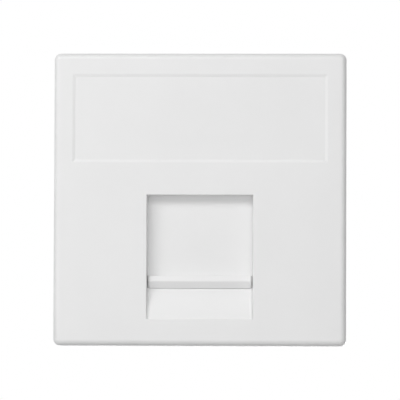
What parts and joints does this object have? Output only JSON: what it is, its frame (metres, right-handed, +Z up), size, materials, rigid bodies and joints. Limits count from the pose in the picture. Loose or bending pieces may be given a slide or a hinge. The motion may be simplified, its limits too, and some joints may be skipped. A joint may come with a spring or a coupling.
{
  "type": "keystone faceplate",
  "caption": "Flat square 45 mm faceplate with a label recess and a sliding dust shutter, for a keystone jack in a modular frame.",
  "frame": {"origin": "centre of the plane at the back of the rim, which seats on the modular frame", "axes": "+X to the right seen from the front, +Z up, and the face looks along -Y"},
  "size_m": [0.045, 0.0133, 0.045],
  "materials": {
    "cover": "white moulded plastic, satin gloss",
    "shutter": "white moulded plastic, satin gloss",
    "spring": "drawn spring wire",
    "carrier": "white moulded plastic, fine matt texture"
  },
  "bodies": {
    "faceplate": {"cover_plate": "cover", "jack_carrier": "carrier", "return_spring": "spring"},
    "shutter": {"shutter": "shutter"}
  },
  "joints": [
    {"name": "shutter_slide", "type": "slide", "parent": "faceplate", "child": "shutter", "axis": [0, 0, 1], "range_m": [0, 0.01227], "stiffness_N_per_m": 90, "springref_m": -0.003, "deforming": ["return_spring"]}
  ]
}
